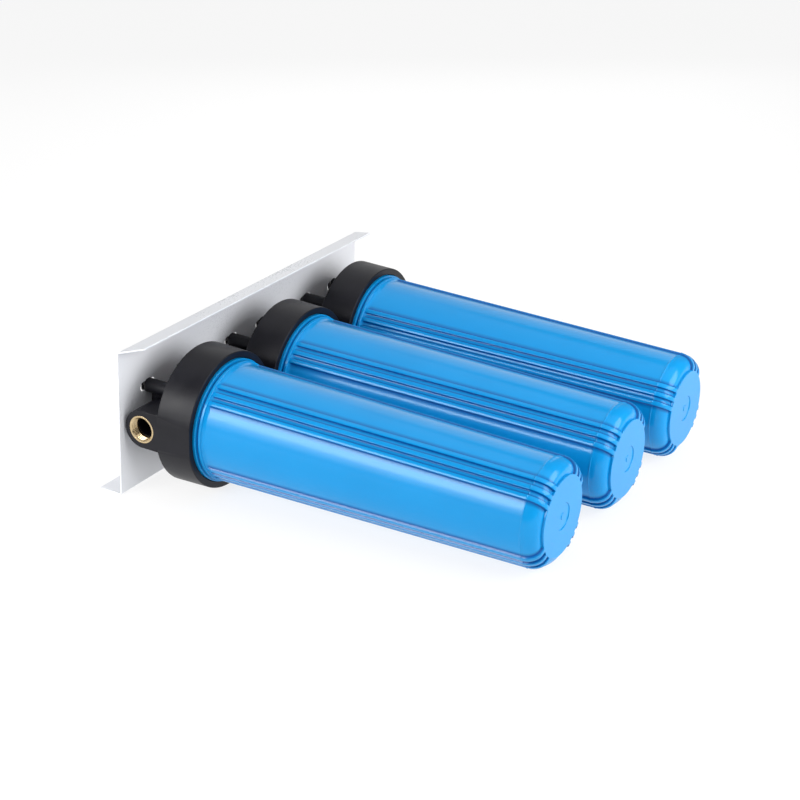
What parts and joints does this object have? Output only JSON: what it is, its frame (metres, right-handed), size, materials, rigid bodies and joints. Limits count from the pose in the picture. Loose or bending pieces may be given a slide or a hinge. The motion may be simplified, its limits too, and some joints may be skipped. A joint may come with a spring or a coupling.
{
  "type": "three-stage water filter",
  "caption": "Row of tall ribbed filter housings with domed ends, screwed into threaded heads that are piped together and bolted to one folded wall bracket.",
  "frame": {"origin": "centre of the wall flange's outer face, at the middle of the bracket's length", "axes": "+X along the housings' axes from the bracket to the closed ends of the sumps, +Y along the bracket from the inlet to the outlet, +Z out of the wall flange towards the bracket's lip"},
  "size_m": [0.6204, 0.5694, 0.211],
  "materials": {
    "white_paint": "semi-gloss white powder coat on folded sheet steel",
    "black_plastic": "satin moulded black plastic",
    "blue_plastic": "glossy moulded blue plastic",
    "black_rubber": "matt black sealing rubber",
    "white_media": "fibrous off-white filter medium",
    "white_plastic": "plain moulded white plastic",
    "red_plastic": "glossy moulded red plastic",
    "brass": "machined brass",
    "zinc_steel": "bright zinc-plated steel"
  },
  "bodies": {
    "root": {"bracket": "white_paint", "filter_head_1": "black_plastic", "filter_head_2": "black_plastic", "filter_head_3": "black_plastic", "inlet_insert_1": "brass", "inlet_insert_2": "brass", "inlet_insert_3": "brass", "outlet_insert_1": "brass", "outlet_insert_2": "brass", "outlet_insert_3": "brass", "port_nipple_12": "brass", "port_nipple_23": "brass", "mount_screw_a_1": "zinc_steel", "mount_screw_b_1": "zinc_steel", "mount_screw_c_1": "zinc_steel", "mount_screw_d_1": "zinc_steel", "mount_screw_a_2": "zinc_steel", "mount_screw_b_2": "zinc_steel", "mount_screw_c_2": "zinc_steel", "mount_screw_d_2": "zinc_steel", "mount_screw_a_3": "zinc_steel", "mount_screw_b_3": "zinc_steel", "mount_screw_c_3": "zinc_steel", "mount_screw_d_3": "zinc_steel", "relief_spring_1": "zinc_steel", "relief_spring_2": "zinc_steel", "relief_spring_3": "zinc_steel"},
    "cartridge_body_1": {"cartridge_media_1": "white_media", "cartridge_core_1": "white_plastic", "cartridge_top_cap_1": "white_plastic", "cartridge_bottom_cap_1": "white_plastic", "cartridge_top_gasket_1": "black_rubber", "cartridge_bottom_gasket_1": "black_rubber"},
    "seal_body_1": {"sump_o_ring_1": "black_rubber"},
    "sump_body_1": {"sump_1": "blue_plastic"},
    "relief_body_1": {"relief_button_1": "red_plastic", "relief_seal_1": "black_rubber"},
    "cartridge_body_2": {"cartridge_media_2": "white_media", "cartridge_core_2": "white_plastic", "cartridge_top_cap_2": "white_plastic", "cartridge_bottom_cap_2": "white_plastic", "cartridge_top_gasket_2": "black_rubber", "cartridge_bottom_gasket_2": "black_rubber"},
    "seal_body_2": {"sump_o_ring_2": "black_rubber"},
    "sump_body_2": {"sump_2": "blue_plastic"},
    "relief_body_2": {"relief_button_2": "red_plastic", "relief_seal_2": "black_rubber"},
    "cartridge_body_3": {"cartridge_media_3": "white_media", "cartridge_core_3": "white_plastic", "cartridge_top_cap_3": "white_plastic", "cartridge_bottom_cap_3": "white_plastic", "cartridge_top_gasket_3": "black_rubber", "cartridge_bottom_gasket_3": "black_rubber"},
    "seal_body_3": {"sump_o_ring_3": "black_rubber"},
    "sump_body_3": {"sump_3": "blue_plastic"},
    "relief_body_3": {"relief_button_3": "red_plastic", "relief_seal_3": "black_rubber"}
  },
  "joints": [
    {"name": "sump_off_1", "type": "slide", "parent": "root", "child": "cartridge_body_1", "axis": [1, 0, 0], "range_m": [0, 0.15]},
    {"name": "thread_advance_1", "type": "slide", "parent": "cartridge_body_1", "child": "seal_body_1", "axis": [1, 0, 0], "range_m": [0, 0.0201]},
    {"name": "sump_turn_1", "type": "hinge", "parent": "seal_body_1", "child": "sump_body_1", "pos_m": [0.1, -0.18711, 0.09935], "axis": [1, 0, 0], "range_deg": [0, 1200]},
    {"name": "relief_press_1", "type": "slide", "parent": "root", "child": "relief_body_1", "axis": [1, 0, 0], "range_m": [0, 0.002], "stiffness_N_per_m": 400, "springref_m": -0.001, "deforming": ["relief_spring_1"]},
    {"name": "sump_off_2", "type": "slide", "parent": "root", "child": "cartridge_body_2", "axis": [1, 0, 0], "range_m": [0, 0.15]},
    {"name": "thread_advance_2", "type": "slide", "parent": "cartridge_body_2", "child": "seal_body_2", "axis": [1, 0, 0], "range_m": [0, 0.0201]},
    {"name": "sump_turn_2", "type": "hinge", "parent": "seal_body_2", "child": "sump_body_2", "pos_m": [0.1, 0, 0.09935], "axis": [1, 0, 0], "range_deg": [0, 1200]},
    {"name": "relief_press_2", "type": "slide", "parent": "root", "child": "relief_body_2", "axis": [1, 0, 0], "range_m": [0, 0.002], "stiffness_N_per_m": 400, "springref_m": -0.001, "deforming": ["relief_spring_2"]},
    {"name": "sump_off_3", "type": "slide", "parent": "root", "child": "cartridge_body_3", "axis": [1, 0, 0], "range_m": [0, 0.15]},
    {"name": "thread_advance_3", "type": "slide", "parent": "cartridge_body_3", "child": "seal_body_3", "axis": [1, 0, 0], "range_m": [0, 0.0201]},
    {"name": "sump_turn_3", "type": "hinge", "parent": "seal_body_3", "child": "sump_body_3", "pos_m": [0.1, 0.18711, 0.09935], "axis": [1, 0, 0], "range_deg": [0, 1200]},
    {"name": "relief_press_3", "type": "slide", "parent": "root", "child": "relief_body_3", "axis": [1, 0, 0], "range_m": [0, 0.002], "stiffness_N_per_m": 400, "springref_m": -0.001, "deforming": ["relief_spring_3"]}
  ],
  "couplings": [
    {"joint": "thread_advance_1", "follows": "sump_turn_1", "m_per_rad": 0.00095493},
    {"joint": "thread_advance_2", "follows": "sump_turn_2", "m_per_rad": 0.00095493},
    {"joint": "thread_advance_3", "follows": "sump_turn_3", "m_per_rad": 0.00095493}
  ]
}
